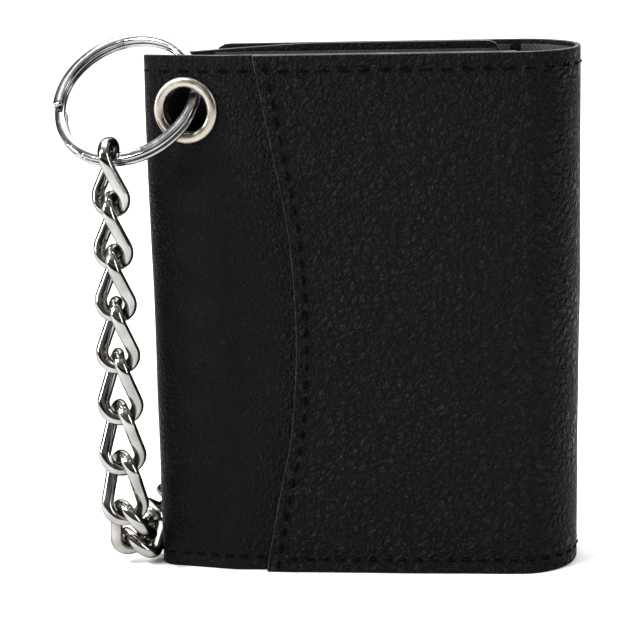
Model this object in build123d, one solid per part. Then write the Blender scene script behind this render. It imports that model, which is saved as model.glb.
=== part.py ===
"""A tri-fold leather wallet with a split ring, a curb chain and a bolt snap.

The wallet stands closed on its bottom edges. X runs to the right, Y runs from the front
(centre) panel to the back and Z runs up. The origin is on the centre panel's bottom edge,
at mid-width and in the middle of its leather. Sizes are millimetres and angles are degrees.
"""

from build123d import *
import math
import os

# Wallet
HEIGHT = 108.0
HALF_WIDTH = 44.0
LEATHER = 1.3
THIN_LEATHER = 0.7
LINING = 0.3
LEFT_DEPTH = 17.5
RIGHT_DEPTH = 25.0
RIGHT_RADIUS = RIGHT_DEPTH / 2
FOLD_X = HALF_WIDTH - RIGHT_RADIUS
PANEL_TURN = 12.0
PANEL_TURN_X = -28.0
LEFT_FOLD_DROP = 1.45
INNER_FLAP_X = (-34.6, 28.2)
INNER_FLAP_HEIGHT = 108.6
OUTER_FLAP_X = (-32.0, 31.1)
FOLD_END_ANGLE = 78.0

# Inner panels: how far each reaches along X, and where each layer starts along Y
CENTRE_INNER_X = (-28.5, 27.0)
INNER_FLAP_INNER_X = (-29.0, 26.0)
OUTER_FLAP_INNER_X = (-30.5, 27.0)
OUTER_FLAP_POCKET_X = (-29.0, 20.0)
CENTRE_WALL_Y = 3.4
INNER_FLAP_WALL_Y = 13.2
OUTER_FLAP_WALL_Y = 20.9
INNER_BOTTOM = 1.0
WALL_HEIGHT = 100.0
POCKET_TOPS = (84.0, 74.0, 64.0)
POCKET_STEP = 0.8
WINDOW_CORNER = 4.0
WINDOW_SIZE = (42.0, 70.0)
WINDOW_CENTRE_Z = 50.0

# Curved front pocket
POCKET_LEATHER = 1.2
POCKET_GAP = 0.15
POCKET_EDGE = [(-21.3, 0), (-18.3, 15.7), (-15.2, 31), (-13.9, 51), (-15.0, 72), (-17.7, 88), (-21.3, HEIGHT)]

# Eyelet
EYELET_X = -35.1
EYELET_Z = 97.0
EYELET_BORE = 4.6
EYELET_WALL = 0.35
EYELET_FLANGE = 6.7
EYELET_RISE = 0.9
WASHER_THICKNESS = 0.6

# Split ring: the plane is set by its long direction and the direction towards the front
RING_CENTRE = Vector(-47.785, 7.573, 98.748)
RING_LONG = Vector(0.8723, 0.1871, 0.4517)
RING_FRONT = Vector(0.4470, -0.6794, -0.5819)
RING_RADIUS = 14.7
RING_RADIAL = 2.2
RING_COIL = 1.2
RING_PITCH = 1.34
RING_TURNS = 2

# Chain link, a closed loop twisted a quarter turn: its top end lies along Y and its bottom along X
WIRE = 2.6
LINK_HALF = 6.9
LINK_SPREAD = 4.8
LINK_BEND = 3.4
LINK_GAP = 0.3
NEST = WIRE + LINK_GAP
RING_NEST = 3.1

# Each link's (heading, lift, roll). Lift is 0 where it hangs and 90 where it lies, and heading 0 is
# towards the back, turning to the left as it grows.
HANGING = [
    (0, 0, -18), (0, 0, -14), (0, 0, -8), (0, 0, 0), (0, 0, 9), (0, 0, 18), (0, 0, 27),
]
LANDING = [(0, 38, 35), (0, 83, 42), (-4, 91, 45)]
LYING = [
    (-10, 90, 45), (-4, 91, 45), (8, 91, 45), (14, 90, 45), (2, 90, 45), (-14, 88, 45),
    (-30, 89, 45), (-48, 89, 45), (-66, 89, 45), (-82, 89, 45), (-92, 90, 45),
]
ROUTE = HANGING + LANDING + LYING

# Bolt snap
EYE_RADIUS = 4.6
POST_RADIUS = 1.6
SNAP_ROD = 3.8
BARREL_RADIUS = 4.2
HOOK_HALF = 6.5
SLEEVE_RADIUS = 2.9
BOLT_RADIUS = 1.4


def block(x_span, y_span, z_span):
    """A box between its lowest and highest corners."""
    size = [high - low for low, high in (x_span, y_span, z_span)]
    middle = [(low + high) / 2 for low, high in (x_span, y_span, z_span)]
    return Pos(*middle) * Box(*size)


def strip(path, thickness):
    """An upright sheet of leather whose outside face follows a path in the XY plane."""
    outline = path.wire().offset_2d(-thickness, side=Side.RIGHT, closed=True)
    return extrude(make_face(outline.edges()), HEIGHT)


def arc_sheet(centre, outer, thickness, half_angle, height):
    """An upright sheet bent round a vertical line, opening towards -X."""
    start, end = math.radians(-half_angle), math.radians(half_angle)
    corners = []
    for radius, angles in ((outer, (start, 0, end)), (outer - thickness, (end, 0, start))):
        corners.append([centre + Vector(radius * math.cos(a), radius * math.sin(a), 0) for a in angles])
    outside, inside = ThreePointArc(*corners[0]), ThreePointArc(*corners[1])
    closing = [Line(outside @ 1, inside @ 0), Line(inside @ 1, outside @ 0)]
    return extrude(make_face([outside, inside] + closing), height)


def eyelet_plane():
    """The plane of the eyelet, whose normal points out of the wallet's front."""
    turn = math.radians(PANEL_TURN)
    setback = (PANEL_TURN_X - EYELET_X) * math.tan(turn)
    normal = Vector(-math.sin(turn), -math.cos(turn), 0)
    return Plane(origin=(EYELET_X, setback, EYELET_Z), x_dir=(0, 0, 1), z_dir=normal)


def shell_centre():
    """Outside leather of the centre panel, carried on round the left fold."""
    slope = math.tan(math.radians(PANEL_TURN))
    corner_y = (PANEL_TURN_X + HALF_WIDTH) * slope
    path = FilletPolyline(
        (FOLD_X, 0),
        (PANEL_TURN_X, 0),
        (-HALF_WIDTH, corner_y),
        (-HALF_WIDTH, LEFT_DEPTH),
        (INNER_FLAP_X[0] - 0.4, LEFT_DEPTH),
        radius=[20, 3.6, 6.5],
    )
    hole = eyelet_plane() * Cylinder(EYELET_BORE + EYELET_WALL, 12)
    leather = strip(path, LEATHER) - hole
    wedge = Polyline((3, HEIGHT), (LEFT_DEPTH + 1, HEIGHT - LEFT_FOLD_DROP), (LEFT_DEPTH + 1, HEIGHT + 1), (3, HEIGHT))
    cut = extrude(Plane(origin=(-HALF_WIDTH - 1, 0, 0), x_dir=(0, 1, 0), z_dir=(1, 0, 0)) * make_face(wedge), 12)
    return leather - cut


def front_pocket():
    """Curved leather pocket sewn over the right part of the centre panel."""
    edge = Spline(*[(x, 0, z) for x, z in POCKET_EDGE])
    sides = Polyline(edge @ 1, (FOLD_X, 0, HEIGHT), (FOLD_X, 0, 0), edge @ 0)
    face = make_face([edge, sides])
    panel = extrude(face, amount=POCKET_LEATHER, dir=(0, -1, 0))
    return Pos(0, -POCKET_GAP, 0) * panel


def window_frame():
    """Leather frame of the card window, with a rounded opening."""
    x_middle = sum(INNER_FLAP_INNER_X) / 2
    y_start = INNER_FLAP_WALL_Y - 2 * POCKET_STEP - THIN_LEATHER
    frame = block(INNER_FLAP_INNER_X, (y_start, y_start + THIN_LEATHER), (INNER_BOTTOM, WALL_HEIGHT))
    opening = extrude(RectangleRounded(*WINDOW_SIZE, WINDOW_CORNER), 6, both=True)
    return frame - Pos(x_middle, y_start, WINDOW_CENTRE_Z) * Rot(90, 0, 0) * opening


def clear_window():
    """Clear film behind the frame."""
    x_middle = sum(INNER_FLAP_INNER_X) / 2
    y_start = INNER_FLAP_WALL_Y - 2 * POCKET_STEP + 0.2
    half = WINDOW_SIZE[0] / 2 + 3
    bottom = WINDOW_CENTRE_Z - WINDOW_SIZE[1] / 2 - 3
    top = WINDOW_CENTRE_Z + WINDOW_SIZE[1] / 2 + 3
    return block((x_middle - half, x_middle + half), (y_start, y_start + LINING), (bottom, top))


def eyelet():
    """Rolled eyelet: a rounded flange outside and a barrel through the leather."""
    outer, inner = EYELET_FLANGE, EYELET_BORE
    flange = Cylinder(outer, EYELET_RISE, align=(Align.CENTER, Align.CENTER, Align.MIN))
    flange -= Cylinder(inner, 10)
    flange = fillet(flange.edges().filter_by(GeomType.CIRCLE).group_by(Axis.Z)[-1], 0.6)
    length = LEATHER + WASHER_THICKNESS + 0.1
    barrel = Pos(0, 0, -length) * Cylinder(inner + EYELET_WALL, length, align=(Align.CENTER, Align.CENTER, Align.MIN))
    barrel -= Cylinder(inner, 20)
    return eyelet_plane() * (flange + barrel)


def eyelet_washer():
    """Washer under the eyelet, inside the wallet."""
    washer = Cylinder(EYELET_FLANGE - 0.8, WASHER_THICKNESS) - Cylinder(EYELET_BORE + EYELET_WALL, 5)
    return eyelet_plane() * Pos(0, 0, -LEATHER - WASHER_THICKNESS / 2) * washer


def ring_plane():
    """The split ring's own plane, with its centre at the ring's centre."""
    return Plane(origin=RING_CENTRE, x_dir=RING_LONG, z_dir=RING_LONG.cross(RING_FRONT))


def ring_low_point():
    """The lowest point of the ring's centreline, where the chain hangs."""
    x_part, y_part = -RING_LONG.Z, -RING_FRONT.Z
    size = math.hypot(x_part, y_part)
    direction = RING_LONG * (x_part / size) + RING_FRONT * (y_part / size)
    along = RING_LONG * (-y_part / size) + RING_FRONT * (x_part / size)
    return RING_CENTRE + direction * RING_RADIUS, along


def split_ring():
    """Two turns of flat wire wound side by side."""
    height = RING_TURNS * RING_PITCH
    path = Helix(pitch=RING_PITCH, height=height, radius=RING_RADIUS)
    section = Plane(origin=path @ 0, x_dir=(1, 0, 0), z_dir=path % 0) * RectangleRounded(RING_RADIAL, RING_COIL, 0.5)
    coil = sweep(section, path=path, is_frenet=True)
    split_turn = Rot(0, 0, 205)
    return ring_plane() * split_turn * Pos(0, 0, -height / 2) * coil


def link_solid():
    """One chain link about its own centre."""
    half_path = FilletPolyline(
        (0, 0, LINK_HALF),
        (0, -LINK_SPREAD, LINK_HALF),
        (LINK_SPREAD, 0, -LINK_HALF),
        (0, 0, -LINK_HALF),
        radius=LINK_BEND,
    )
    section = Plane(origin=half_path @ 0, z_dir=half_path % 0) * Circle(WIRE / 2)
    half = sweep(section, path=half_path)
    return half + Rot(0, 0, 180) * half


def link_places():
    """Each link's plane, and the pivot point and axis of its joint to the link above it."""
    held, held_along = ring_low_point()
    nest, way = RING_NEST, Vector(0, 0, -1)
    places = []
    for heading, lift, roll in ROUTE:
        turn = Plane(Rot(0, 0, heading) * Rot(lift, 0, 0) * Rot(0, 0, roll))
        normal = held_along.cross(turn.y_dir).normalized()
        if normal.dot(way) > 0:
            normal = normal * -1
        top = held + normal * nest
        way = turn.z_dir * -1
        centre = top + way * LINK_HALF
        hangs = lift < 45
        pivot = top if hangs else held + normal * (nest / 2)
        axis = turn.y_dir if hangs else Vector(0, 0, 1)
        places.append((Plane(origin=centre, x_dir=turn.x_dir, z_dir=turn.z_dir), pivot, axis))
        held, held_along, nest = centre + way * LINK_HALF, turn.x_dir, NEST
    return places, held, held_along, way


def snap_plane():
    """The snap's frame: X runs along it from the eye's centre to the hook, and Z is up."""
    _, held, _, way = link_places()
    flat = Vector(way.X, way.Y, 0).normalized()
    return Plane(origin=held + flat * (EYE_RADIUS - NEST), x_dir=flat, z_dir=(0, 0, 1))


def snap_swivel():
    """Eye that the last link hangs in, with the headed post that turns in the snap."""
    _, _, along, _ = link_places()
    frame = snap_plane()
    eye = Plane(origin=frame.origin, z_dir=along) * Torus(EYE_RADIUS, WIRE / 2)
    post = Pos(EYE_RADIUS + 5, 0, 0) * Rot(0, 90, 0) * Cylinder(POST_RADIUS, 9)
    head = Pos(EYE_RADIUS + 8.75, 0, 0) * Rot(0, 90, 0) * Cylinder(2.6, 1.5)
    return eye + frame * (post + head)


def snap_body():
    """Cast body of the snap: socket for the post, hook and the bolt's barrel."""
    start = EYE_RADIUS + 3.0
    socket = Pos(start + 4.5, 0, 0) * Rot(0, 90, 0) * Cylinder(BARREL_RADIUS, 9)
    path = FilletPolyline(
        (start + 7.4, 2.0, 0),
        (start + 14, HOOK_HALF, 0),
        (start + 34, HOOK_HALF, 0),
        (start + 34, -HOOK_HALF, 0),
        (start + 27, -HOOK_HALF, 0),
        radius=[4, 6, 6],
    )
    rod = sweep(Plane(origin=path @ 0, z_dir=path % 0) * Circle(SNAP_ROD / 2), path=path)
    sleeve = Pos(start + 11, -HOOK_HALF, 0) * Rot(0, 90, 0) * Cylinder(SLEEVE_RADIUS, 12)
    web = Pos(start + 6.9, -3.2, 0) * Box(3.4, 6.0, 3.6)
    body = socket + rod + sleeve + web
    body -= Pos(start + 2, 0, 0) * Rot(0, 90, 0) * Cylinder(POST_RADIUS + 0.3, 8)
    body -= Pos(start + 5.75, 0, 0) * Rot(0, 90, 0) * Cylinder(2.9, 2.1)
    body -= Pos(start + 12, -HOOK_HALF, 0) * Rot(0, 90, 0) * Cylinder(BOLT_RADIUS + 0.3, 12)
    body -= Pos(start + 12.9, -HOOK_HALF - SLEEVE_RADIUS, 0) * Box(7.8, 3.8, 2.2)
    return snap_plane() * body


def snap_bolt():
    """Sliding bolt that closes the hook, with its thumb stud."""
    start = EYE_RADIUS + 3.0
    bolt = Pos(start + 20.05, -HOOK_HALF, 0) * Rot(0, 90, 0) * Cylinder(BOLT_RADIUS, 13.1)
    stud = Pos(start + 15.4, -HOOK_HALF - 2.4, 0) * Rot(90, 0, 0) * Cylinder(0.8, 4.4)
    cap = Pos(start + 15.4, -HOOK_HALF - 4.9, 0) * Sphere(1.5)
    return snap_plane() * (bolt + stud + cap)


def snap_spring():
    """The bolt's spring at its closed length, at the blind end of the sleeve."""
    start = EYE_RADIUS + 3.0
    spring = Pos(start + 7.2, -HOOK_HALF, 0) * Rot(0, 90, 0) * (Cylinder(1.45, 2.2) - Cylinder(0.9, 3))
    return snap_plane() * spring


def pocket_stack(x_span, y_start, step, tops):
    """Card pockets one in front of another, each lower than the one behind it."""
    stack = []
    for number, top in enumerate(tops):
        y = y_start + number * step
        stack.append(block(x_span, (min(y, y + THIN_LEATHER), max(y, y + THIN_LEATHER)), (INNER_BOTTOM, top)))
    return stack


def build():
    """Every node by name, with Y still measured from the centre panel's outside face."""
    nodes = {"shell_centre": shell_centre(), "front_pocket": front_pocket()}
    nodes["eyelet"] = eyelet()
    nodes["eyelet_washer"] = eyelet_washer()
    lining_x = (EYELET_X + EYELET_FLANGE + 1, FOLD_X)
    nodes["lining_centre"] = block(lining_x, (LEATHER + 0.1, LEATHER + 0.1 + LINING), (0.5, HEIGHT - 1))
    wall_y = (CENTRE_WALL_Y, CENTRE_WALL_Y + THIN_LEATHER)
    nodes["bill_wall_centre"] = block(CENTRE_INNER_X, wall_y, (INNER_BOTTOM, WALL_HEIGHT))
    first = CENTRE_WALL_Y + POCKET_STEP
    for number, pocket in enumerate(pocket_stack(CENTRE_INNER_X, first, POCKET_STEP, POCKET_TOPS), 1):
        nodes[f"card_pocket_centre_{number}"] = pocket

    fold_centre = Vector(FOLD_X, RIGHT_RADIUS, 0)
    nodes["shell_right_fold"] = arc_sheet(fold_centre, RIGHT_RADIUS, LEATHER, FOLD_END_ANGLE, HEIGHT)
    lining_radius = RIGHT_RADIUS - LEATHER - 0.1
    nodes["lining_right_fold"] = Pos(0, 0, 0.5) * arc_sheet(
        fold_centre, lining_radius, LINING, FOLD_END_ANGLE - 4, HEIGHT - 1.5
    )

    flap_y = (RIGHT_DEPTH - LEATHER, RIGHT_DEPTH)
    nodes["shell_outer_flap"] = block(OUTER_FLAP_X, flap_y, (0, HEIGHT))
    lining_y = (flap_y[0] - 0.1 - LINING, flap_y[0] - 0.1)
    nodes["lining_outer_flap"] = block((OUTER_FLAP_X[0] + 1, OUTER_FLAP_X[1] - 1), lining_y, (0.5, HEIGHT - 1))
    wall_y = (OUTER_FLAP_WALL_Y, OUTER_FLAP_WALL_Y + THIN_LEATHER)
    nodes["bill_wall_outer_flap"] = block(OUTER_FLAP_INNER_X, wall_y, (INNER_BOTTOM, WALL_HEIGHT))
    first = OUTER_FLAP_WALL_Y - POCKET_STEP
    for number, pocket in enumerate(pocket_stack(OUTER_FLAP_POCKET_X, first, -POCKET_STEP, POCKET_TOPS), 1):
        nodes[f"card_pocket_outer_{number}"] = pocket

    flap_y = (LEFT_DEPTH - LEATHER, LEFT_DEPTH)
    nodes["shell_inner_flap"] = block(INNER_FLAP_X, flap_y, (0, INNER_FLAP_HEIGHT))
    lining_y = (flap_y[0] - 0.1 - LINING, flap_y[0] - 0.1)
    nodes["lining_inner_flap"] = block((INNER_FLAP_X[0] + 4, INNER_FLAP_X[1] - 1), lining_y, (0.5, HEIGHT - 1))
    wall_y = (INNER_FLAP_WALL_Y, INNER_FLAP_WALL_Y + THIN_LEATHER)
    nodes["bill_wall_inner_flap"] = block(INNER_FLAP_INNER_X, wall_y, (INNER_BOTTOM, WALL_HEIGHT))
    nodes["window_frame"] = window_frame()
    nodes["clear_window"] = clear_window()

    nodes["split_ring"] = split_ring()
    link = link_solid()
    places, _, _, _ = link_places()
    for number, (place, _, _) in enumerate(places, 1):
        nodes[f"chain_link_{number:02d}"] = place * link
    nodes["snap_swivel"] = snap_swivel()
    nodes["snap_body"] = snap_body()
    nodes["snap_bolt"] = snap_bolt()
    nodes["snap_spring"] = snap_spring()
    return nodes


def main():
    os.makedirs("parts", exist_ok=True)
    for name, solid in build().items():
        export_step(Pos(0, -LEATHER / 2, 0) * solid, f"parts/{name}.step")


if __name__ == "__main__":
    main()
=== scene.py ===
"""Looks of the tri-fold chain wallet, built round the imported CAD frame."""

import math
import random

import bmesh
import bpy
from mathutils import Matrix, Vector, noise


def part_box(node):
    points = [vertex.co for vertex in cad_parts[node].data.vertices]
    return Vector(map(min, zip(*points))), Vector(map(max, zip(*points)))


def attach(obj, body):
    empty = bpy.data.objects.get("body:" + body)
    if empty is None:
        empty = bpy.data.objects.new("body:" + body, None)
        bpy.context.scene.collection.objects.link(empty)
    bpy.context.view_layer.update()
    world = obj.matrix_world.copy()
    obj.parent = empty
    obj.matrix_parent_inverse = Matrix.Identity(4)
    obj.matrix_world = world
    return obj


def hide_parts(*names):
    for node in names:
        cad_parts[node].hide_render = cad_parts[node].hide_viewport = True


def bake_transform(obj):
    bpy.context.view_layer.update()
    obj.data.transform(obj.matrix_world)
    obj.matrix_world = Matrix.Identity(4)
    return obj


MM = 0.001
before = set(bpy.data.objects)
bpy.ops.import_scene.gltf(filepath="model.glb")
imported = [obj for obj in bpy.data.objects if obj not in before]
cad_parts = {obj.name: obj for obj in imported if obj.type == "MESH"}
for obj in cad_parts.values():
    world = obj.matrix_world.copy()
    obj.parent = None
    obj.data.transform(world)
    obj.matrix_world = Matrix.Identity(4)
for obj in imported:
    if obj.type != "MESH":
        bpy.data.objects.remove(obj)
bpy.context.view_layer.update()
random.seed(7)


# ---------------------------------------------------------------- sizes, from the CAD
def span(node):
    low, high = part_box(node)
    return Vector(low), Vector(high)


CENTRE_LOW, CENTRE_HIGH = span("shell_centre")
POCKET_LOW, _ = span("front_pocket")
OUTER_LOW, OUTER_HIGH = span("shell_outer_flap")
_, INNER_HIGH = span("shell_inner_flap")
_, FOLD_HIGH = span("shell_right_fold")
EYELET_LOW, EYELET_HIGH = span("eyelet")

FRONT_Y = CENTRE_LOW.y
TOP = CENTRE_HIGH.z
LEATHER = OUTER_HIGH.y - OUTER_LOW.y
LEFT_X = CENTRE_LOW.x
RIGHT_X = FOLD_HIGH.x
LEFT_BACK_Y = INNER_HIGH.y
RIGHT_BACK_Y = OUTER_HIGH.y
RIGHT_RADIUS = (RIGHT_BACK_Y - FRONT_Y) / 2
FOLD_X = RIGHT_X - RIGHT_RADIUS
FOLD_Y = FRONT_Y + RIGHT_RADIUS
LEFT_RADIUS = 6.5 * MM
FRONT_RADIUS = 3.6 * MM
TURN = math.radians(12)
TURN_X = -28 * MM
LEFT_FOLD_DROP = 1.45 * MM
THIN_HIDE = 1.2 * MM


# ---------------------------------------------------------------- small helpers
def smooth(t):
    t = min(max(t, 0.0), 1.0)
    return t * t * (3 - 2 * t)


def link_mesh(name, mesh, material=None):
    obj = bpy.data.objects.new(name, mesh)
    bpy.context.scene.collection.objects.link(obj)
    if material is not None:
        obj.data.materials.append(material)
    return obj


def shade(obj):
    for polygon in obj.data.polygons:
        polygon.use_smooth = True
    return obj


def apply_modifiers(obj):
    """Puts the result of an object's modifiers in its mesh."""
    depsgraph = bpy.context.evaluated_depsgraph_get()
    depsgraph.update()
    mesh = bpy.data.meshes.new_from_object(obj.evaluated_get(depsgraph), depsgraph=depsgraph)
    obj.modifiers.clear()
    obj.data = mesh
    return obj


# ---------------------------------------------------------------- materials
class Graph:
    """A Principled material with short names for adding and joining nodes."""

    def __init__(self, name, **sockets):
        self.material = bpy.data.materials.new(name)
        self.material.use_nodes = True
        self.tree = self.material.node_tree
        self.shader = self.tree.nodes["Principled BSDF"]
        for key, value in sockets.items():
            self.shader.inputs[key.replace("_", " ")].default_value = value

    def node(self, kind, inputs=None, **settings):
        node = self.tree.nodes.new("ShaderNode" + kind)
        for key, value in settings.items():
            setattr(node, key, value)
        for key, value in (inputs or {}).items():
            if isinstance(value, bpy.types.NodeSocket):
                self.tree.links.new(value, node.inputs[key])
            else:
                node.inputs[key].default_value = value
        return node

    def to_shader(self, socket, name):
        self.tree.links.new(socket, self.shader.inputs[name])

    def math(self, operation, a, b=0.0, c=0.0):
        node = self.node("Math", {0: a, 1: b, 2: c}, operation=operation)
        return node.outputs[0]

    def remap(self, value, low, high, to_low=0.0, to_high=1.0):
        inputs = {"Value": value, "From Min": low, "From Max": high}
        inputs.update({"To Min": to_low, "To Max": to_high})
        return self.node("MapRange", inputs, interpolation_type="SMOOTHSTEP").outputs["Result"]

    def mix(self, factor, a, b):
        node = self.node("Mix", data_type="RGBA")
        for index, value in ((0, factor), (6, a), (7, b)):
            if isinstance(value, bpy.types.NodeSocket):
                self.tree.links.new(value, node.inputs[index])
            else:
                node.inputs[index].default_value = value
        return node.outputs[2]

    def bump(self, height, distance, strength=1.0, normal=None):
        inputs = {"Height": height, "Distance": distance, "Strength": strength}
        if normal is not None:
            inputs["Normal"] = normal
        return self.node("Bump", inputs).outputs["Normal"]


def grey(value, warm=0.0):
    return (value * (1 + warm), value, value * (1 - warm), 1.0)


def leather(name, cell, relief, dark, light, rough=(0.42, 0.62), cracks=1.0):
    """Black leather: pebbles one cell wide, raised by relief, both in mm, with fine creases."""
    g = Graph(name)
    g.shader.inputs["Specular IOR Level"].default_value = 0.08
    uv = g.node("UVMap").outputs["UV"]
    millimetres = g.node("VectorMath", {0: uv, 1: (1000, 1000, 1000)}, operation="MULTIPLY").outputs[0]
    wobble = g.node("TexNoise", {"Vector": millimetres, "Scale": 0.9 / cell, "Detail": 3.0})
    middle = {0: wobble.outputs["Color"], 1: (0.5, 0.5, 0.5)}
    shift = g.node("VectorMath", middle, operation="SUBTRACT").outputs[0]
    shift = g.node("VectorMath", {0: shift, "Scale": cell * 0.9}, operation="SCALE").outputs[0]
    place = g.node("VectorMath", {0: millimetres, 1: shift}, operation="ADD").outputs[0]
    inputs = {"Vector": place, "Scale": 1 / cell, "Randomness": 0.85}
    coarse = g.node("TexVoronoi", inputs, feature="DISTANCE_TO_EDGE")
    fine = g.node("TexVoronoi", {"Vector": place, "Scale": 2.3 / cell}, feature="DISTANCE_TO_EDGE")
    pebble = g.remap(coarse.outputs["Distance"], 0.0, 0.3)
    grain = g.remap(fine.outputs["Distance"], 0.0, 0.26)
    patch = g.node("TexNoise", {"Vector": millimetres, "Scale": 0.055, "Detail": 2.0}).outputs["Fac"]
    patch = g.remap(patch, 0.35, 0.65)
    inputs = {"Vector": millimetres, "Scale": 3.2, "Detail": 4.0, "Roughness": 0.6}
    pores = g.node("TexNoise", inputs).outputs["Fac"]
    height = g.math("MULTIPLY", pebble, g.math("MULTIPLY_ADD", patch, 0.35, 0.65))
    height = g.math("MULTIPLY_ADD", grain, 0.38 * cracks, height)
    height = g.math("MULTIPLY_ADD", pores, 0.22, height)
    normal = g.bump(height, relief * MM)
    g.to_shader(normal, "Normal")
    # Base colour: painted shade in the creases between pebbles and a painted highlight on the pebble
    # crowns, stronger in random patches.
    wear_and_painted_light = g.math("MULTIPLY", pebble, g.math("MULTIPLY_ADD", patch, 0.6, 0.4))
    painted_crease_shade = (dark * 0.8, dark, dark * 1.1, 1)
    painted_crown_highlight = (light * 0.85, light, light * 1.08, 1)
    g.to_shader(g.mix(wear_and_painted_light, painted_crease_shade, painted_crown_highlight), "Base Color")
    mottled = g.math("MULTIPLY_ADD", pores, 0.5, g.math("MULTIPLY", wear_and_painted_light, 0.5))
    g.to_shader(g.remap(mottled, 0.2, 0.8, rough[1], rough[0]), "Roughness")
    return g.material


def cut_edge(name):
    """The raw cut edge of the hide: fibres under edge paint that is rubbed through in patches."""
    g = Graph(name)
    uv = g.node("TexCoord").outputs["Object"]
    fibres = g.node("TexNoise", {"Vector": uv, "Scale": 2600.0, "Detail": 3.0}).outputs["Fac"]
    # On the cut edge this mask is wear alone: edge paint rubbed through at random.
    wear_and_painted_light = g.node("TexNoise", {"Vector": uv, "Scale": 160.0, "Detail": 3.0}).outputs["Fac"]
    wear_and_painted_light = g.remap(wear_and_painted_light, 0.45, 0.72)
    g.to_shader(g.mix(wear_and_painted_light, grey(0.012, 0.02), (0.075, 0.066, 0.058, 1)), "Base Color")
    g.to_shader(g.remap(fibres, 0.3, 0.7, 0.5, 0.75), "Roughness")
    g.to_shader(g.bump(fibres, 0.05 * MM), "Normal")
    return g.material


def twill(name):
    """Black nylon lining with a diagonal weave."""
    g = Graph(name)
    g.shader.inputs["Sheen Weight"].default_value = 0.04
    uv = g.node("UVMap").outputs["UV"]
    inputs = {"Vector": uv, "Scale": 620.0, "Distortion": 0.6, "Detail": 1.0}
    first = g.node("TexWave", inputs, bands_direction="DIAGONAL")
    second = g.node("TexWave", {"Vector": uv, "Scale": 900.0, "Distortion": 0.3}, bands_direction="Y")
    softer = g.math("MULTIPLY_ADD", second.outputs["Fac"], 0.5, 0.5)
    weave = g.math("MULTIPLY", first.outputs["Fac"], softer)
    g.to_shader(g.mix(weave, grey(0.004), grey(0.024)), "Base Color")
    g.to_shader(g.remap(weave, 0.0, 1.0, 0.75, 0.5), "Roughness")
    g.to_shader(g.bump(weave, 0.06 * MM), "Normal")
    return g.material


def thread(name):
    """Black waxed thread with its twist."""
    g = Graph(name)
    g.shader.inputs["Specular IOR Level"].default_value = 0.0
    place = g.node("TexCoord").outputs["Object"]
    inputs = {"Vector": place, "Scale": 900.0, "Distortion": 1.0}
    twist = g.node("TexWave", inputs, bands_direction="DIAGONAL").outputs["Fac"]
    g.to_shader(g.mix(twist, grey(0.0012), grey(0.005)), "Base Color")
    g.to_shader(g.remap(twist, 0.0, 1.0, 0.55, 0.38), "Roughness")
    g.to_shader(g.bump(twist, 0.08 * MM), "Normal")
    return g.material


def metal(name, tone, rough, scratch=0.5):
    """Plated steel: polished, with hairlines, faint orange peel and duller patches."""
    g = Graph(name)
    g.shader.inputs["Metallic"].default_value = 1.0
    g.shader.inputs["Specular Tint"].default_value = (0.05, 0.05, 0.05, 1)
    place = g.node("TexCoord").outputs["Object"]
    haze = g.node("TexNoise", {"Vector": place, "Scale": 230.0, "Detail": 4.0}).outputs["Fac"]
    inputs = {"Vector": place, "Rotation": (0.5, 0.9, 0.3), "Scale": (300, 5200, 900)}
    stretched = g.node("Mapping", inputs).outputs[0]
    hairline = g.node("TexNoise", {"Vector": stretched, "Scale": 1.0, "Detail": 2.0}).outputs["Fac"]
    hairline = g.remap(hairline, 0.62, 0.74)
    peel = g.node("TexNoise", {"Vector": place, "Scale": 700.0, "Detail": 1.0}).outputs["Fac"]
    patches = g.remap(haze, 0.3, 0.75, rough * 0.7, rough * 1.6)
    dull = g.math("MULTIPLY_ADD", hairline, 0.12 * scratch, patches)
    g.to_shader(dull, "Roughness")
    darker = tuple(0.72 * c for c in tone) + (1.0,)
    g.to_shader(g.mix(g.remap(haze, 0.35, 0.7), darker, tone + (1.0,)), "Base Color")
    normal = g.bump(peel, 0.012 * MM)
    g.to_shader(g.bump(hairline, -0.006 * MM * scratch, normal=normal), "Normal")
    return g.material


def film(name):
    """Clear vinyl of the card window."""
    g = Graph(name, Roughness=0.08, IOR=1.5)
    g.shader.inputs["Transmission Weight"].default_value = 0.9
    place = g.node("TexCoord").outputs["Object"]
    waves = g.node("TexNoise", {"Vector": place, "Scale": 60.0, "Detail": 2.0}).outputs["Fac"]
    g.to_shader(g.mix(waves, grey(0.78), grey(0.86)), "Base Color")
    g.to_shader(g.bump(waves, 0.15 * MM), "Normal")
    return g.material


PEBBLED = leather("leather_pebbled", 2.0, 0.90, 0.0008, 0.0024, (0.27, 0.52))
SMOOTHER = leather("leather_smoother", 1.15, 0.36, 0.0010, 0.0030, (0.29, 0.52), cracks=0.8)
POCKET_LEATHER = leather("leather_inner", 1.1, 0.12, 0.003, 0.007, (0.38, 0.60))
EDGE = cut_edge("leather_cut_edge")
LINING = twill("lining_twill")
THREAD = thread("thread_black")
NICKEL = metal("nickel_plate", (0.40, 0.39, 0.37), 0.13)
RING_STEEL = metal("ring_steel", (0.42, 0.42, 0.42), 0.11, 0.8)
EYELET_METAL = metal("eyelet_plate", (0.47, 0.43, 0.36), 0.34, 0.7)
FILM = film("clear_vinyl")


# ---------------------------------------------------------------- leather sheets
def line_points(a, b, step=1.2 * MM):
    count = max(int((b - a).length / step), 1)
    return [a.lerp(b, i / count) for i in range(count)]


def arc_points(centre, radius, start, stop, step=0.8 * MM):
    count = max(int(abs(math.radians(stop - start)) * radius / step), 6)
    angles = [math.radians(start + (stop - start) * i / count) for i in range(count)]
    return [centre + Vector((radius * math.cos(a), radius * math.sin(a))) for a in angles]


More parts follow.
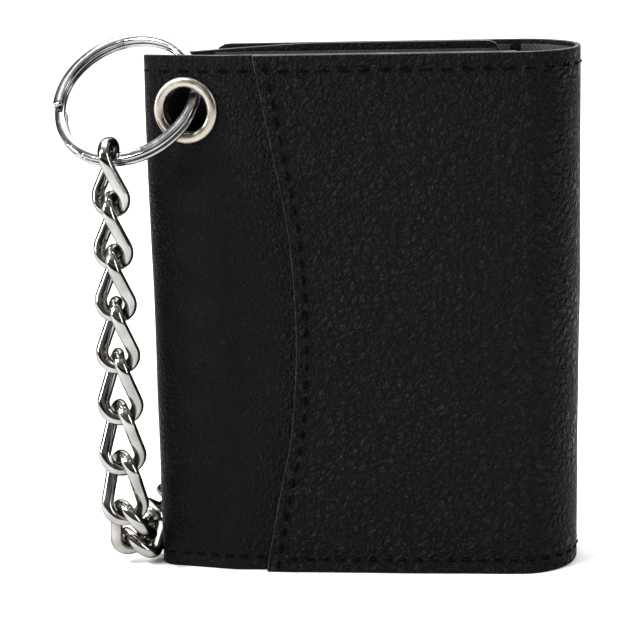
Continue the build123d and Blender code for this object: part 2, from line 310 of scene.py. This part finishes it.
def corner_points(before, corner, after, radius):
    """Points of the arc that rounds a corner in the XY plane."""
    into = (before - corner).normalized()
    out = (after - corner).normalized()
    half = into.angle(out) / 2
    first = corner + into * (radius / math.tan(half))
    last = corner + out * (radius / math.tan(half))
    centre = corner + (into + out).normalized() * (radius / math.sin(half))
    start = math.degrees(math.atan2(first.y - centre.y, first.x - centre.x))
    stop = math.degrees(math.atan2(last.y - centre.y, last.x - centre.x))
    while stop - start > 180:
        stop -= 360
    while stop - start < -180:
        stop += 360
    return arc_points(centre, radius, start, stop) + [last]


def rounded_path(corners, radii):
    """Dense XY points along a polyline with rounded corners."""
    corners = [Vector(c) for c in corners]
    points = [corners[0]]
    for index in range(1, len(corners) - 1):
        arc = corner_points(corners[index - 1], corners[index], corners[index + 1], radii[index - 1])
        points += line_points(points[-1], arc[0])[1:] + arc
    points += line_points(points[-1], corners[-1])[1:] + [corners[-1]]
    return points


def lengths(points):
    total = [0.0]
    for a, b in zip(points, points[1:]):
        total.append(total[-1] + (b - a).length)
    return total


def outward(points, index):
    """Unit normal to the left of the way the path runs."""
    a = points[max(index - 1, 0)]
    b = points[min(index + 1, len(points) - 1)]
    way = (b - a).normalized()
    return Vector((-way.y, way.x))


def swell(point, z):
    """Slow waves of the leather, in metres, the same for every layer at one place."""
    place = Vector((point.x * 28, point.y * 28, z * 28))
    return noise.noise(place) * 0.28 * MM + noise.noise(place * 2.7) * 0.09 * MM


def closed_sheet(name, rows, uvs, thickness, materials, bevel=0.28 * MM, flip=False):
    """A sheet whose seen side is a grid of points; its thickness goes behind, with rounded edges."""
    height, width = len(rows), len(rows[0])
    mesh = bpy.data.meshes.new(name)
    faces = []
    for i in range(height - 1):
        for j in range(width - 1):
            a = i * width + j
            face = (a, a + 1, a + width + 1, a + width)
            faces.append(face[::-1] if flip else face)
    mesh.from_pydata([p for row in rows for p in row], [], faces)
    layer = mesh.uv_layers.new(name="UVMap")
    flat = [uv for row in uvs for uv in row]
    for loop in mesh.loops:
        layer.data[loop.index].uv = flat[loop.vertex_index]
    obj = link_mesh(name, mesh)
    for material in materials:
        mesh.materials.append(material)
    solid = obj.modifiers.new("solid", "SOLIDIFY")
    solid.thickness = thickness
    solid.offset = -1
    solid.use_even_offset = True
    solid.material_offset = 1 if len(materials) > 2 else 0
    solid.material_offset_rim = len(materials) - 1
    edge = obj.modifiers.new("edge", "BEVEL")
    edge.width = bevel
    edge.segments = 2
    edge.limit_method = "ANGLE"
    edge.angle_limit = math.radians(50)
    return shade(apply_modifiers(obj))


def corner_cut(distance, radius):
    """How far a rounded corner takes the edge in, at a distance from the end."""
    if distance >= radius:
        return 0.0
    return radius - math.sqrt(max(radius ** 2 - (radius - distance) ** 2, 0.0))


def path_sheet(
    name, points, low, high, thickness, materials,
    u_end=0.9, end_radius=(0, 0), wave=1.0, bevel=0.28 * MM,
):
    """An upright sheet along an XY path. low and high give the bottom and top at each point."""
    distance = lengths(points)
    columns = 64
    rows, uvs = [], []
    for k in range(columns + 1):
        row, uv_row = [], []
        for index, point in enumerate(points):
            cut = corner_cut(distance[index], end_radius[0])
            cut = max(cut, corner_cut(distance[-1] - distance[index], end_radius[1]))
            bottom = low(point, index) + cut
            top = high(point, index) - cut
            z = bottom + (top - bottom) * k / columns
            side = outward(points, index)
            off = swell(point, z) * wave
            row.append(Vector((point.x + side.x * off, point.y + side.y * off, z)))
            uv_row.append((u_end - distance[index], z))
        rows.append(row)
        uvs.append(uv_row)
    return closed_sheet(name, rows, uvs, thickness, materials, bevel, flip=True)


FRONT_CORNER = (LEFT_X, FRONT_Y + (TURN_X - LEFT_X) * math.tan(TURN))


def left_top(point, _):
    """Top edge of the centre panel, the left fold and the inner flap."""
    if point.y < FRONT_Y + 4 * MM:
        return TOP
    if point.y < LEFT_BACK_Y - 0.2 * MM:
        share = (point.y - FRONT_Y - 3 * MM) / (LEFT_BACK_Y - FRONT_Y - 4 * MM)
        return TOP - LEFT_FOLD_DROP * smooth(share)
    rise = (point.x - CENTRE_LOW.x) / (INNER_HIGH.x - CENTRE_LOW.x)
    return TOP - LEFT_FOLD_DROP + (INNER_HIGH.z - TOP + LEFT_FOLD_DROP) * min(rise * 2.2, 1) ** 0.8


def left_low(*_):
    return 0.0


main_path = rounded_path(
    [
        (INNER_HIGH.x, LEFT_BACK_Y),
        (LEFT_X, LEFT_BACK_Y),
        FRONT_CORNER,
        (TURN_X, FRONT_Y),
        (FOLD_X - 0.5 * MM, FRONT_Y),
    ],
    [LEFT_RADIUS, FRONT_RADIUS, 20 * MM],
)
main_path.reverse()
hide_main = path_sheet(
    "hide_centre_and_inner_flap", main_path, left_low, left_top, LEATHER,
    [SMOOTHER, POCKET_LEATHER, EDGE],
    end_radius=(0, 3 * MM),
)


def drill(obj, point, normal, radius, depth=8 * MM):
    """Cuts a round hole through a sheet."""
    mesh = bpy.data.meshes.new("drill")
    bm = bmesh.new()
    bmesh.ops.create_cone(bm, cap_ends=True, segments=64, radius1=radius, radius2=radius, depth=depth)
    bm.to_mesh(mesh)
    bm.free()
    tool = link_mesh("drill", mesh)
    tool.matrix_world = Matrix.Translation(point) @ normal.to_track_quat("Z", "Y").to_matrix().to_4x4()
    cut = obj.modifiers.new("hole", "BOOLEAN")
    cut.operation = "DIFFERENCE"
    cut.object = tool
    cut.solver = "EXACT"
    bpy.context.view_layer.update()
    apply_modifiers(obj)
    bpy.data.objects.remove(tool)


EYELET_NORMAL = Vector((-math.sin(TURN), -math.cos(TURN), 0))
EYELET_X = -35.1 * MM
EYELET_Y = FRONT_Y + (TURN_X - EYELET_X) * math.tan(TURN)
EYELET_CENTRE = Vector((EYELET_X, EYELET_Y, (EYELET_LOW.z + EYELET_HIGH.z) / 2))
drill(hide_main, EYELET_CENTRE, EYELET_NORMAL, 4.95 * MM)
shade(hide_main)
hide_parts("shell_centre", "shell_inner_flap")
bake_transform(hide_main)


# Curved front pocket, which carries on round the first half of the right fold
POCKET_EDGE = [
    (-21.3, 0), (-18.3, 15.7), (-15.2, 31), (-13.9, 51), (-15.0, 72), (-17.7, 88), (-21.3, 108),
]


def pocket_edge(z):
    """X of the front pocket's curved edge at a height."""
    z = min(max(z / MM, 0.0), 108.0)
    index = 0
    while index < len(POCKET_EDGE) - 2 and z > POCKET_EDGE[index + 1][1]:
        index += 1
    picks = [POCKET_EDGE[min(max(index + k, 0), len(POCKET_EDGE) - 1)] for k in (-1, 0, 1, 2)]
    (x0, z0), (x1, z1), (x2, z2), (x3, z3) = picks
    slope1 = (x2 - x0) / (z2 - z0) if z2 != z0 else 0
    slope2 = (x3 - x1) / (z3 - z1) if z3 != z1 else 0
    gap = z2 - z1
    t = (z - z1) / gap
    value = (2 * t ** 3 - 3 * t ** 2 + 1) * x1 + (t ** 3 - 2 * t ** 2 + t) * slope1 * gap
    value += (-2 * t ** 3 + 3 * t ** 2) * x2 + (t ** 3 - t ** 2) * slope2 * gap
    return value * MM


def front_face(s):
    """XY point and outward normal of the pocket leather's face, s metres to the right of x = 0."""
    if s <= FOLD_X:
        return Vector((s, POCKET_LOW.y)), Vector((0, -1))
    angle = (s - FOLD_X) / (RIGHT_RADIUS + 0.6 * MM)
    stand = (FRONT_Y - POCKET_LOW.y) * (1 - smooth(angle / (math.pi / 2)))
    radius = RIGHT_RADIUS + stand
    way = Vector((math.sin(angle), -math.cos(angle)))
    return Vector((FOLD_X, FOLD_Y)) + way * radius, way


QUARTER_END = FOLD_X + (RIGHT_RADIUS + 0.6 * MM) * math.pi / 2
POCKET_ROWS, POCKET_COLUMNS = 72, 84
rows, uvs = [], []
for k in range(POCKET_ROWS + 1):
    z = TOP * k / POCKET_ROWS
    start = pocket_edge(z)
    row, uv_row = [], []
    for j in range(POCKET_COLUMNS + 1):
        s = start + (QUARTER_END - start) * j / POCKET_COLUMNS
        point, side = front_face(s)
        near = smooth((s - start) / (5 * MM))
        gone = smooth((QUARTER_END - s) / (8 * MM))
        off = swell(point, z) * near + 0.22 * MM * near * gone - 0.1 * MM * (1 - near)
        row.append(Vector((point.x + side.x * off, point.y + side.y * off, z)))
        uv_row.append((s + 0.2, z))
    rows.append(row)
    uvs.append(uv_row)
pocket = closed_sheet(
    "front_pocket_hide", rows, uvs, THIN_HIDE, [PEBBLED, POCKET_LEATHER, EDGE], 0.34 * MM,
)
back_path = arc_points(Vector((FOLD_X, FOLD_Y)), RIGHT_RADIUS, 0, 90)
back_path += line_points(Vector((FOLD_X, RIGHT_BACK_Y)), Vector((OUTER_LOW.x, RIGHT_BACK_Y)))
back_path += [Vector((OUTER_LOW.x, RIGHT_BACK_Y))]
back_path.reverse()
BACK_LENGTHS = lengths(back_path)


def flat_top(*_):
    return TOP


def square_end(obj, sign):
    """Flattens the rounded rim on the side seam, where the next sheet carries straight on."""
    for vertex in obj.data.vertices:
        co = vertex.co
        if co.x < FOLD_X + 3 * MM or abs(co.y - FOLD_Y) > 0.42 * MM:
            continue
        height = co.z
        wave = swell(Vector((RIGHT_X, FOLD_Y)), height)
        outer = co.x > RIGHT_X - LEATHER / 2
        edge = min(max(height, 0.0), TOP)
        if 0.5 * MM < edge < TOP - 0.5 * MM:
            co.x = RIGHT_X + wave if outer else RIGHT_X + wave - THIN_HIDE
        co.y = FOLD_Y + sign * 0.01 * MM


square_end(pocket, 1)
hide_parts("front_pocket", "shell_right_fold")
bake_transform(pocket)

hide_back = path_sheet(
    "hide_outer_flap", back_path, left_low, flat_top, THIN_HIDE, [PEBBLED, POCKET_LEATHER, EDGE],
    u_end=QUARTER_END + 0.2 + BACK_LENGTHS[-1], end_radius=(3.3 * MM, 0),
)
square_end(hide_back, -1)
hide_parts("shell_outer_flap")
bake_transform(hide_back)


# ---------------------------------------------------------------- linings
def lining(name, points, node, body, blend=None, low=0.5 * MM, high=TOP - 1 * MM):
    obj = path_sheet(
        name, points, lambda p, i: low, lambda p, i: high, 0.3 * MM, [LINING, LINING],
        wave=0.3, bevel=0.08 * MM,
    )
    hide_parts(*node)
    if blend:
        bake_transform(obj)
    else:
        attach(obj, body)
    return obj


def straight(x_from, x_to, y):
    a, b = Vector((x_from, y)), Vector((x_to, y))
    return line_points(a, b, 2.5 * MM) + [b]


low, high = span("lining_centre")
lining("lining_centre_panel", straight(low.x, high.x, high.y), ["lining_centre"], "centre_panel")
low, high = span("lining_inner_flap")
lining("lining_inner_flap_cloth", straight(high.x, low.x, low.y), ["lining_inner_flap"], "inner_flap")
low, high = span("lining_outer_flap")
lining("lining_outer_flap_cloth", straight(high.x, low.x, low.y), ["lining_outer_flap"], "outer_flap")
centre = Vector((FOLD_X, FOLD_Y))
radius = RIGHT_RADIUS - LEATHER - 0.45 * MM
first = arc_points(centre, radius, -86, 0) + [centre + Vector((radius, 0))]
lining(
    "lining_fold_front", first, ["lining_right_fold"], "centre_panel",
    ("right_fold", (FOLD_X, FRONT_Y, 0), (RIGHT_X, FOLD_Y, 0)),
)
last = centre + Vector((radius * math.cos(1.5), radius * math.sin(1.5)))
second = arc_points(centre, radius, 0, 86) + [last]
lining(
    "lining_fold_back", second, ["lining_right_fold"], "right_fold",
    ("outer_flap", (RIGHT_X, FOLD_Y, 0), (FOLD_X, RIGHT_BACK_Y, 0)),
)


# ---------------------------------------------------------------- stitching
def stitch_bm(bm, a, b, out, radius):
    """One stitch: a thread that dips into its needle holes at both ends."""
    way = b - a
    side = out.cross(way).normalized()
    steps, around = 8, 8
    rings = []
    for i in range(steps + 1):
        t = i / steps
        arch = math.sin(math.pi * t)
        centre = a + way * t + out * (radius * (1.25 * arch ** 0.6 - 0.85))
        thick = radius * (0.35 + 0.65 * arch ** 0.4)
        ring = []
        for k in range(around):
            angle = 2 * math.pi * k / around
            across_it = side * (math.cos(angle) * thick)
            up = out * (math.sin(angle) * thick * 0.85)
            ring.append(bm.verts.new(centre + across_it + up))
        rings.append(ring)
    for first, second in zip(rings, rings[1:]):
        for k in range(around):
            bm.faces.new((first[k], second[k], second[(k + 1) % around], first[(k + 1) % around]))
    bm.faces.new(list(rings[0]))
    bm.faces.new(list(reversed(rings[-1])))


def stitches(name, place, total, pitch, radius=0.28 * MM, fill=0.70):
    """A row of stitches. place(s) gives the point on the leather and its outward normal."""
    bm = bmesh.new()
    count = int(total / pitch)
    for i in range(count):
        s = (i + 0.5) * total / count
        half = pitch * fill / 2 * random.uniform(0.96, 1.04)
        a, out_a = place(s - half)
        b, out_b = place(s + half)
        stitch_bm(bm, a, b, (out_a + out_b).normalized(), radius)
    mesh = bpy.data.meshes.new(name)
    bmesh.ops.recalc_face_normals(bm, faces=bm.faces)
    bm.to_mesh(mesh)
    bm.free()
    return shade(link_mesh(name, mesh, THREAD))


def pocket_surface(s, z):
    point, side = front_face(s)
    start = pocket_edge(z)
    near = smooth((s - start) / (5 * MM))
    gone = smooth((QUARTER_END - s) / (8 * MM))
    off = swell(point, z) * near + 0.22 * MM * near * gone - 0.1 * MM * (1 - near)
    return Vector((point.x + side.x * off, point.y + side.y * off, z)), Vector((side.x, side.y, 0))


def edge_run():
    """Lengths along the pocket's curved edge, against height."""
    table = [(0.0, 0.0)]
    for k in range(1, 217):
        z0, z1 = TOP * (k - 1) / 216, TOP * k / 216
        step = math.hypot(z1 - z0, pocket_edge(z1) - pocket_edge(z0))
        table.append((table[-1][0] + step, z1))
    return table


EDGE_TABLE = edge_run()


def edge_place(s):
    """A point on the stitch line beside the curved edge."""
    index = min(range(len(EDGE_TABLE)), key=lambda k: abs(EDGE_TABLE[k][0] - s))
    base_s, base_z = EDGE_TABLE[index]
    z = min(max(base_z + (s - base_s), 0), TOP)
    return pocket_surface(pocket_edge(z) + 2.2 * MM, z)


def across(z, x_from):
    return lambda s: pocket_surface(x_from + s, z)


def finish_stitches(obj, a, b=None):
    if b:
        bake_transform(obj)
    else:
        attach(obj, a)
    return obj


TOP_LINE, BOTTOM_LINE = TOP - 3.2 * MM, 3.0 * MM
TOP_PITCH, BOTTOM_PITCH, END_PITCH = 4.0 * MM, 3.15 * MM, 3.5 * MM
edge_row = stitches("stitches_pocket_edge", edge_place, EDGE_TABLE[-1][0] - 1 * MM, END_PITCH)
finish_stitches(edge_row, "centre_panel")
for label, z, pitch in (("top", TOP_LINE, TOP_PITCH), ("bottom", BOTTOM_LINE, BOTTOM_PITCH)):
    start = pocket_edge(z) + 3.5 * MM
    row = stitches(f"stitches_pocket_{label}", across(z, start), QUARTER_END - start - 0.5 * MM, pitch)
    finish_stitches(row, "centre_panel", "right_fold")

MAIN_LENGTHS = lengths(main_path)


def main_place(z_of, s_from):
    """Points on the outside of the centre and inner flap leather, by length along it."""

    def place(s):
        s = min(max(s + s_from, 0), MAIN_LENGTHS[-1] - 1e-6)
        index = max(k for k in range(len(MAIN_LENGTHS)) if MAIN_LENGTHS[k] <= s)
        nxt = min(index + 1, len(main_path) - 1)
        t = (s - MAIN_LENGTHS[index]) / max(MAIN_LENGTHS[nxt] - MAIN_LENGTHS[index], 1e-9)
        point = main_path[index].lerp(main_path[nxt], t)
        side = outward(main_path, index).lerp(outward(main_path, nxt), t).normalized()
        z = z_of(point)
        off = swell(point, z)
        return Vector((point.x + side.x * off, point.y + side.y * off, z)), Vector((side.x, side.y, 0))

    return place


edge_at_top = MAIN_LENGTHS[0] + (FOLD_X - 0.5 * MM - pocket_edge(TOP_LINE)) + 0.5 * MM
for label, z_of in (("top", lambda p: left_top(p, 0) - 3.2 * MM), ("bottom", lambda p: BOTTOM_LINE)):
    total = MAIN_LENGTHS[-1] - edge_at_top - 4 * MM
    pitch = TOP_PITCH if label == "top" else BOTTOM_PITCH
    row = stitches(f"stitches_hide_{label}", main_place(z_of, edge_at_top), total, pitch)
    finish_stitches(row, "centre_panel", "inner_flap")


def flap_end(x, y, sign, s_low, z_top):
    def place(s):
        return Vector((x, y, s_low + s)), Vector((0, sign, 0))

    return place, z_top - s_low


place, total = flap_end(INNER_HIGH.x - 3 * MM, LEFT_BACK_Y + 0.05 * MM, 1, 4 * MM, TOP - 4 * MM)
finish_stitches(stitches("stitches_inner_flap_end", place, total, END_PITCH), "inner_flap")
place, total = flap_end(OUTER_LOW.x + 3 * MM, RIGHT_BACK_Y + 0.05 * MM, 1, 4 * MM, TOP - 4 * MM)
finish_stitches(stitches("stitches_outer_flap_end", place, total, END_PITCH), "outer_flap")


def back_place(z, s_from):
    def place(s):
        s = min(max(s + s_from, 0), BACK_LENGTHS[-1] - 1e-6)
        index = max(k for k in range(len(BACK_LENGTHS)) if BACK_LENGTHS[k] <= s)
        nxt = min(index + 1, len(back_path) - 1)
        t = (s - BACK_LENGTHS[index]) / max(BACK_LENGTHS[nxt] - BACK_LENGTHS[index], 1e-9)
        point = back_path[index].lerp(back_path[nxt], t)
        side = outward(back_path, index).lerp(outward(back_path, nxt), t).normalized()
        off = swell(point, z)
        return Vector((point.x + side.x * off, point.y + side.y * off, z)), Vector((side.x, side.y, 0))

    return place


for label, z, pitch in (("top", TOP_LINE, TOP_PITCH), ("bottom", BOTTOM_LINE, BOTTOM_PITCH)):
    row = stitches(f"stitches_back_{label}", back_place(z, 4 * MM), BACK_LENGTHS[-1] - 4 * MM, pitch)
    finish_stitches(row, "right_fold", "outer_flap")


# ---------------------------------------------------------------- inner panels and card pockets
def inner_panel(node, body, faces_back, arch=0.0, top_radius=2.0 * MM):
    """A thin leather panel with a soft bow, rounded top corners and a stitched top edge."""
    low, high = span(node)
    columns, layers = 44, 30
    y = high.y if faces_back else low.y
    sign = 1 if faces_back else -1
    rows, uvs = [], []
    for k in range(layers + 1):
        row, uv_row = [], []
        for j in range(columns + 1):
            t = j / columns
            x = low.x + (high.x - low.x) * (1 - t if faces_back else t)
            cut = corner_cut(min(x - low.x, high.x - x), top_radius)
            dip = arch * math.sin(math.pi * t) ** 2
            z = low.z + (high.z - dip - cut - low.z) * k / layers
            row.append(Vector((x, y, z)))
            uv_row.append((x + 0.9, z + low.y * 9))
        rows.append(row)
        uvs.append(uv_row)
    obj = closed_sheet(
        f"{node}_leather", rows, uvs, high.y - low.y, [POCKET_LEATHER, POCKET_LEATHER, EDGE], 0.2 * MM,
    )
    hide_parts(node)
    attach(obj, body)

    def place(s):
        x = low.x + 3 * MM + s
        t = (x - low.x) / (high.x - low.x)
        dip = arch * math.sin(math.pi * t) ** 2
        return Vector((x, y, high.z - dip - 2.4 * MM)), Vector((0, sign, 0))

    line = stitches(f"{node}_stitches", place, high.x - low.x - 6 * MM, 3.2 * MM, radius=0.16 * MM)
    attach(line, body)
    return obj


inner_panel("bill_wall_centre", "centre_panel", True)
inner_panel("bill_wall_inner_flap", "inner_flap", False)
inner_panel("bill_wall_outer_flap", "outer_flap", False)
for number in (1, 2, 3):
    inner_panel(f"card_pocket_centre_{number}", "centre_panel", True, arch=1.6 * MM)
    inner_panel(f"card_pocket_outer_{number}", "outer_flap", False, arch=1.6 * MM)


def window_frame():
    """The leather frame of the card window, with rounded edges inside and out."""
    low, high = span("window_frame")
    curve = bpy.data.curves.new("window", "CURVE")
    curve.dimensions = "2D"
    curve.fill_mode = "BOTH"
    thickness = high.y - low.y
    curve.bevel_depth = 0.18 * MM
    curve.bevel_resolution = 2
    curve.extrude = thickness / 2 - 0.18 * MM
    x_mid = (low.x + high.x) / 2
    hole_z, hole = 50 * MM, (42 * MM, 70 * MM)
    outlines = (
        (low.x, low.z, high.x, high.z, 2.0 * MM),
        (x_mid - hole[0] / 2, hole_z - hole[1] / 2, x_mid + hole[0] / 2, hole_z + hole[1] / 2, 4.0 * MM),
    )
    for x0, z0, x1, z1, r in outlines:
        points = []
        arcs = ((x1 - r, z1 - r, 0), (x0 + r, z1 - r, 90), (x0 + r, z0 + r, 180), (x1 - r, z0 + r, 270))
        for cx, cz, start in arcs:
            for k in range(9):
                angle = math.radians(start + 90 * k / 8)
                points.append((cx + r * math.cos(angle), cz + r * math.sin(angle), 0, 1))
        spline = curve.splines.new("POLY")
        spline.points.add(len(points) - 1)
        for target, point in zip(spline.points, points):
            target.co = point
        spline.use_cyclic_u = True
    holder = bpy.data.objects.new("window", curve)
    bpy.context.scene.collection.objects.link(holder)
    bpy.context.view_layer.update()
    mesh = bpy.data.meshes.new_from_object(holder)
    bpy.data.objects.remove(holder)
    turn = Matrix.Translation((0, (low.y + high.y) / 2, 0)) @ Matrix.Rotation(math.radians(90), 4, "X")
    mesh.transform(turn)
    bm = bmesh.new()
    bm.from_mesh(mesh)
    bmesh.ops.remove_doubles(bm, verts=bm.verts, dist=1e-6)
    bmesh.ops.recalc_face_normals(bm, faces=bm.faces)
    bm.to_mesh(mesh)
    bm.free()
    layer = mesh.uv_layers.new(name="UVMap")
    for loop in mesh.loops:
        co = mesh.vertices[loop.vertex_index].co
        layer.data[loop.index].uv = (co.x + 0.3, co.z)
    obj = link_mesh("window_frame_leather", mesh, POCKET_LEATHER)
    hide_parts("window_frame")
    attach(obj, "inner_flap")

    def around(s):
        half_x, half_z = hole[0] / 2 + 2 * MM, hole[1] / 2 + 2 * MM
        sides = (
            (1, -1, 0, 1, 2 * half_z),
            (1, 1, -1, 0, 2 * half_x),
            (-1, 1, 0, -1, 2 * half_z),
            (-1, -1, 1, 0, 2 * half_x),
        )
        for sx, sz, dx, dz, run in sides:
            if s <= run:
                x = x_mid + sx * half_x + dx * s
                z = hole_z + sz * half_z + dz * s
                return Vector((x, low.y, z)), Vector((0, -1, 0))
            s -= run
        return Vector((x_mid + half_x, low.y, hole_z - half_z)), Vector((0, -1, 0))

    run = 2 * (hole[0] + hole[1] + 8 * MM)
    line = stitches("window_frame_stitches", around, run, 3.2 * MM, radius=0.16 * MM)
    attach(line, "inner_flap")


window_frame()


# ---------------------------------------------------------------- metal
def lathe(name, profile, matrix, material, segments=96):
    """A ring-shaped solid from a closed profile of (radius, height) points."""
    bm = bmesh.new()
    rings = []
    for k in range(segments):
        angle = 2 * math.pi * k / segments
        rings.append([bm.verts.new((r * math.cos(angle), r * math.sin(angle), h)) for r, h in profile])
    count = len(profile)
    for k in range(segments):
        a, b = rings[k], rings[(k + 1) % segments]
        for i in range(count):
            j = (i + 1) % count
            bm.faces.new((a[i], b[i], b[j], a[j]))
    bmesh.ops.recalc_face_normals(bm, faces=bm.faces)
    mesh = bpy.data.meshes.new(name)
    bm.to_mesh(mesh)
    bm.free()
    mesh.transform(matrix)
    return shade(link_mesh(name, mesh, material))


out = EYELET_NORMAL
side = Vector((0, 0, 1)).cross(out).normalized()
EYELET_TURN = Matrix((side, Vector((0, 0, 1)), out)).transposed().to_4x4()
EYELET_MATRIX = Matrix.Translation(EYELET_CENTRE) @ EYELET_TURN
outer, inner, rise, depth = 6.7, 4.6, 0.9, 2.0
profile = []
for k in range(13):
    angle = math.pi * k / 12
    middle, half = (outer + inner) / 2, (outer - inner) / 2
    height = 0.12 + (rise - 0.12) * math.sin(angle) ** 0.75
    profile.append(((middle + half * math.cos(angle)) * MM, height * MM))
profile += [
    (inner * MM, -depth * MM),
    ((inner + 0.3) * MM, -depth * MM),
    ((inner + 0.33) * MM, 0.02 * MM),
    ((outer - 0.1) * MM, 0.02 * MM),
]
eyelet = lathe("eyelet_rolled", profile, EYELET_MATRIX, EYELET_METAL)
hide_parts("eyelet")
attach(eyelet, "centre_panel")
washer_profile = [(5.0, -1.34), (5.75, -1.34), (5.9, -1.45), (5.9, -1.8), (5.75, -1.9), (5.0, -1.9)]
washer_profile = [(r * MM, h * MM) for r, h in washer_profile]
washer = lathe("eyelet_washer_plate", washer_profile, EYELET_MATRIX, EYELET_METAL)
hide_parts("eyelet_washer")
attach(washer, "centre_panel")


def split_ring():
    """Two turns of half-flat wire; each end is cut square and pressed down beside the other turn."""
    centre = Vector((-47.785, 7.573, 98.748)) * MM + Vector((0, FRONT_Y, 0))
    long_way = Vector((0.8723, 0.1871, 0.4517)).normalized()
    front_way = Vector((0.4470, -0.6794, -0.5819))
    front_way = (front_way - long_way * front_way.dot(long_way)).normalized()
    axis = long_way.cross(front_way)
    radius, radial, coil, pitch = 14.7 * MM, 2.2 * MM, 1.22 * MM, 1.34 * MM
    steps, around = 360, 20
    bm = bmesh.new()
    rings = []
    for i in range(steps + 1):
        turn = 4 * math.pi * i / steps
        angle = turn + math.radians(205)
        height = pitch * turn / (2 * math.pi) - pitch
        way = long_way * math.cos(angle) + front_way * math.sin(angle)
        end = min(i, steps - i)
        shrink = 1.0 if end > 1 else (0.86 if end == 0 else 0.97)
        ring = []
        for k in range(around):
            a = 2 * math.pi * k / around
            c, s = math.cos(a), math.sin(a)
            r = math.copysign(abs(c) ** 0.62, c) * radial / 2 * shrink
            h = math.copysign(abs(s) ** 0.62, s) * coil / 2 * shrink
            ring.append(bm.verts.new(centre + way * (radius + r) + axis * (height + h)))
        rings.append(ring)
    for first, second in zip(rings, rings[1:]):
        for k in range(around):
            bm.faces.new((first[k], first[(k + 1) % around], second[(k + 1) % around], second[k]))
    bm.faces.new(list(reversed(rings[0])))
    bm.faces.new(list(rings[-1]))
    bmesh.ops.recalc_face_normals(bm, faces=bm.faces)
    mesh = bpy.data.meshes.new("split_ring_coil")
    bm.to_mesh(mesh)
    bm.free()
    obj = shade(link_mesh("split_ring_coil", mesh, RING_STEEL))
    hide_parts("split_ring")
    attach(obj, "ring")


split_ring()
for name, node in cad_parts.items():
    if name.startswith("chain_link") or name.startswith("snap"):
        node.data.materials.clear()
        node.data.materials.append(NICKEL)
    if name == "clear_window":
        node.data.materials.clear()
        node.data.materials.append(FILM)


# ---------------------------------------------------------------- floor, light and camera
def floor():
    g = Graph("floor_paper", Roughness=0.9)
    place = g.node("TexCoord").outputs["Object"]
    tone = g.node("TexNoise", {"Vector": place, "Scale": 3.0, "Detail": 2.0}).outputs["Fac"]
    g.to_shader(g.mix(tone, grey(0.86), grey(0.9)), "Base Color")
    mesh = bpy.data.meshes.new("floor")
    mesh.from_pydata([(-4, -2, 0), (4, -2, 0), (4, 7, 0), (-4, 7, 0)], [], [(0, 1, 2, 3)])
    obj = link_mesh("floor", mesh, g.material)


def light(name, place, target, size, power, colour=(1, 1, 1)):
    data = bpy.data.lights.new(name, "AREA")
    data.shape = "RECTANGLE"
    data.size, data.size_y = size
    data.energy = power
    data.color = colour
    obj = bpy.data.objects.new(name, data)
    bpy.context.scene.collection.objects.link(obj)
    place, target = Vector(place), Vector(target)
    turn = (target - place).to_track_quat("-Z", "Y").to_matrix().to_4x4()
    obj.matrix_world = Matrix.Translation(place) @ turn


floor()
light("key", (-0.7, -0.5, 0.95), (0, 0, 0.05), (0.22, 0.22), 15)
light("rake", (-0.75, -0.16, 0.32), (0.0, 0.0, 0.06), (0.10, 0.30), 5.5)
light("rim", (0.8, -0.25, 0.45), (0.03, 0, 0.06), (0.2, 0.6), 3.0)
light("top", (0.0, 0.3, 1.2), (0, 0.05, 0), (1.4, 0.9), 14)
light("back", (0.0, 1.9, 1.5), (0, 1.5, 0), (3.0, 1.5), 45)


def studio():
    """Soft white room: bright overhead, dark towards the camera's side."""
    world = bpy.data.worlds.new("studio")
    world.use_nodes = True
    tree = world.node_tree
    background = tree.nodes["Background"]
    place = tree.nodes.new("ShaderNodeTexCoord")
    split = tree.nodes.new("ShaderNodeSeparateXYZ")
    tree.links.new(place.outputs["Generated"], split.inputs[0])
    ramp = tree.nodes.new("ShaderNodeValToRGB")
    ramp.color_ramp.elements[0].position = 0.0
    ramp.color_ramp.elements[0].color = (0.0, 0.0, 0.0, 1)
    ramp.color_ramp.elements[1].position = 0.95
    ramp.color_ramp.elements[1].color = (0.7, 0.7, 0.7, 1)
    for place_on_ramp, value in ((0.30, 0.03), (0.42, 0.30), (0.55, 0.06), (0.72, 0.10)):
        stop = ramp.color_ramp.elements.new(place_on_ramp)
        stop.color = (value, value, value, 1)
    tree.links.new(split.outputs["Z"], ramp.inputs["Fac"])
    tree.links.new(ramp.outputs["Color"], background.inputs["Color"])
    background.inputs["Strength"].default_value = 1.0
    bpy.context.scene.world = world
    bpy.context.scene.view_settings.view_transform = "Standard"


studio()

camera_data = bpy.data.cameras.new("camera")
camera_data.lens = 116.1
camera_data.sensor_width = 36
camera_data.clip_start = 0.01
camera = bpy.data.objects.new("camera", camera_data)
bpy.context.scene.collection.objects.link(camera)
yaw, pitch, roll = (math.radians(a) for a in (-4.82, 13.15, -1.38))
ahead = Vector((math.sin(yaw) * math.cos(pitch), math.cos(yaw) * math.cos(pitch), -math.sin(pitch)))
right = Vector((math.cos(yaw), -math.sin(yaw), 0))
above = right.cross(ahead)
right = right * math.cos(roll) + above * math.sin(roll)
above = right.cross(ahead)
place = Vector((22.3, -394.5, 148.6)) * MM + Vector((0, FRONT_Y, 0))
camera.matrix_world = Matrix.Translation(place) @ Matrix((right, above, -ahead)).transposed().to_4x4()
bpy.context.scene.camera = camera
